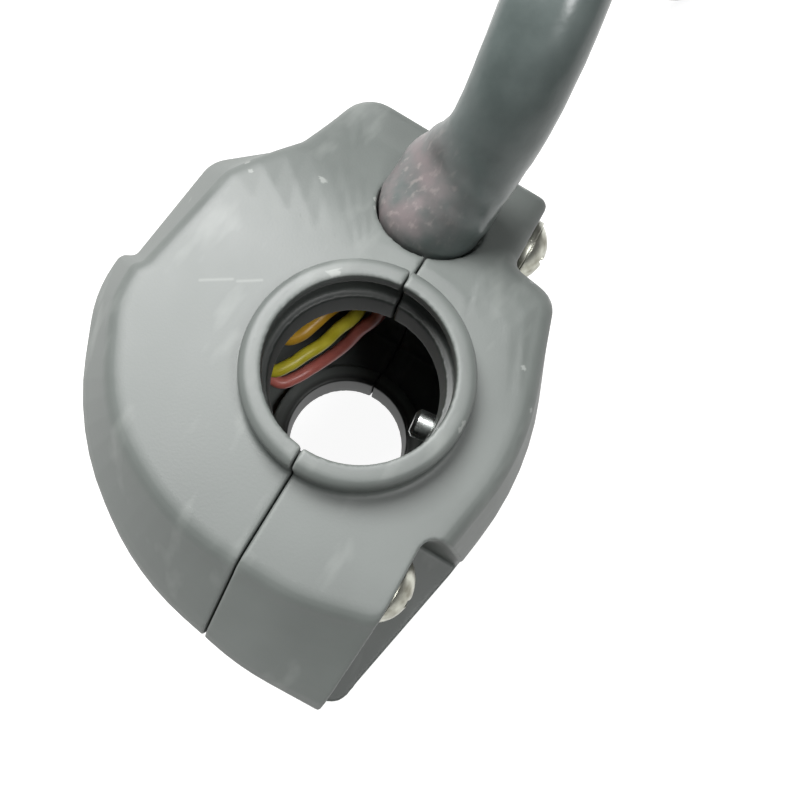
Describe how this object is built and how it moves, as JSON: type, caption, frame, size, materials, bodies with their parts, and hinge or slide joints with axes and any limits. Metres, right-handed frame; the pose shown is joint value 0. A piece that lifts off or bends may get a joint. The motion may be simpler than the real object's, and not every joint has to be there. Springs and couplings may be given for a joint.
{
  "type": "handlebar switch cluster",
  "caption": "Split black housing that clamps round a handlebar, with dimmer rocker, turn-signal slider, horn button, clamp screws, locating pin and a sleeved wiring harness with connector.",
  "frame": {"origin": "on the handlebar axis, at the outboard end face that the cluster stands on", "axes": "+Z along the bar to the cable end, +X to the front half, -X to the rider, +Y to the cable exit"},
  "size_m": [0.0926, 0.2498, 0.0805],
  "materials": {
    "housing": "satin black moulded plastic",
    "plated_steel": "plated",
    "black_plastic": "satin",
    "grey_plastic": "satin",
    "yellow_plastic": "satin",
    "board": "matt laminate",
    "brass": "bright",
    "spring_steel": "drawn",
    "yellow_wire": "satin",
    "orange_wire": "satin",
    "red_wire": "satin",
    "green_wire": "satin",
    "black_wire": "satin",
    "blue_wire": "satin",
    "sleeve": "glossy soft sleeve",
    "nylon": "natural"
  },
  "bodies": {
    "housing": {"rear_housing": "housing", "front_housing": "housing", "upper_clamp_screw": "plated_steel", "lower_clamp_screw": "plated_steel", "clamp_washers": "plated_steel", "locating_pin": "plated_steel", "dimmer_pivot": "plated_steel", "dimmer_board": "board", "dimmer_contacts": "brass", "turn_board": "board", "turn_contacts": "brass", "horn_spring": "spring_steel", "horn_board": "board", "horn_contacts": "brass", "board_screws": "plated_steel", "wire_yellow": "yellow_wire", "wire_orange": "orange_wire", "wire_red": "red_wire", "wire_green": "green_wire", "wire_black": "black_wire", "wire_blue": "blue_wire", "harness_lead": "sleeve", "harness_coil": "sleeve", "harness_tie": "black_plastic", "connector_shell": "nylon", "connector_terminals": "brass"},
    "dimmer": {"dimmer_rocker": "black_plastic", "dimmer_plunger": "brass"},
    "turn_slider": {"turn_carriage": "black_plastic", "turn_bridge": "brass", "cancel_spring": "spring_steel"},
    "turn_button": {"turn_knob": "grey_plastic"},
    "horn": {"horn_button": "yellow_plastic", "horn_bridge": "brass"}
  },
  "joints": [
    {"name": "dimmer_rock", "type": "hinge", "parent": "housing", "child": "dimmer", "pos_m": [-0.0348, 0.0164, 0.021], "axis": [0, 1, 0], "range_deg": [-8, 8]},
    {"name": "turn_slide", "type": "slide", "parent": "housing", "child": "turn_slider", "axis": [0, 0, 1], "range_m": [-0.0035, 0.0035], "stiffness_N_per_m": 300},
    {"name": "turn_cancel", "type": "slide", "parent": "turn_slider", "child": "turn_button", "axis": [1, 0, 0], "range_m": [0, 0.0015], "stiffness_N_per_m": 500, "springref_m": -0.001, "deforming": ["cancel_spring"]},
    {"name": "horn_press", "type": "slide", "parent": "housing", "child": "horn", "axis": [0.8863, 0.4631, 0], "range_m": [0, 0.0025], "stiffness_N_per_m": 600, "springref_m": -0.0015, "deforming": ["horn_spring"]}
  ]
}
